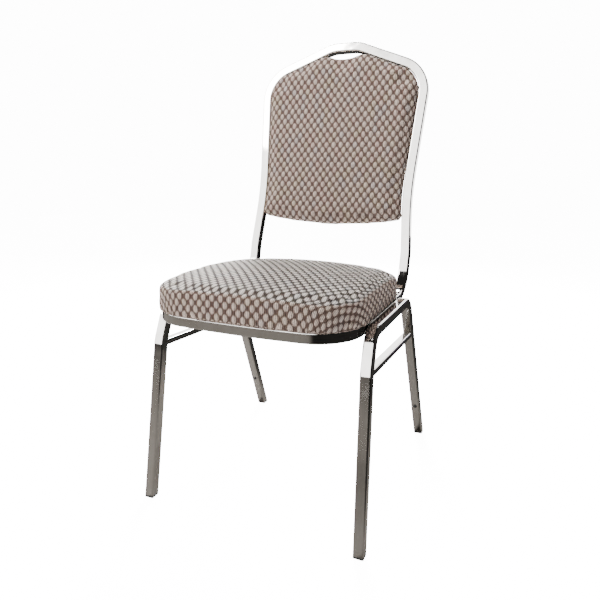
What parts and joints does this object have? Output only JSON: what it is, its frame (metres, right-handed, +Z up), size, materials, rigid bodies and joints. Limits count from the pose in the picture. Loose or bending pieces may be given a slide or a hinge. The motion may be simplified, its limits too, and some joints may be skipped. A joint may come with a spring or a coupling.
{
  "type": "stacking chair",
  "caption": "Stacking chair with an upholstered seat and a hoop back with a hand-hold, on a bent square tube frame with splayed legs.",
  "frame": {"origin": "on the floor, under the middle of the chair's outline", "axes": "+X to the viewer's right when facing the front of the chair, -Y towards the front, +Z up"},
  "size_m": [0.4672, 0.5542, 0.9367],
  "materials": {
    "chrome_tube": "polished chrome plate",
    "black_plastic": "matt moulded",
    "woven_fabric": "woven, small checked pattern",
    "rear_fabric": "woven, small checked pattern",
    "foam": "open-cell foam",
    "plywood": "unsealed",
    "dust_cloth": "non-woven",
    "plain_steel": "black paint",
    "zinc_steel": "zinc plated"
  },
  "bodies": {
    "root": {"back_seat_tube": "chrome_tube", "leg_frame_left": "chrome_tube", "leg_frame_right": "chrome_tube", "stretcher_left": "chrome_tube", "stretcher_right": "chrome_tube", "weld_beads": "chrome_tube", "foot_cap_front_left": "black_plastic", "foot_cap_front_right": "black_plastic", "foot_cap_rear_left": "black_plastic", "foot_cap_rear_right": "black_plastic", "leg_plugs": "black_plastic", "seat_cover": "woven_fabric", "back_cover": "woven_fabric", "back_rear_cover": "rear_fabric", "seat_foam": "foam", "back_foam": "foam", "seat_board": "plywood", "back_board": "plywood", "seat_dust_cover": "dust_cloth", "seat_cross_rail_front": "plain_steel", "seat_cross_rail_rear": "plain_steel", "back_tabs": "plain_steel", "seat_screws": "zinc_steel", "seat_tee_nuts": "zinc_steel", "back_screws": "zinc_steel"}
  },
  "joints": []
}
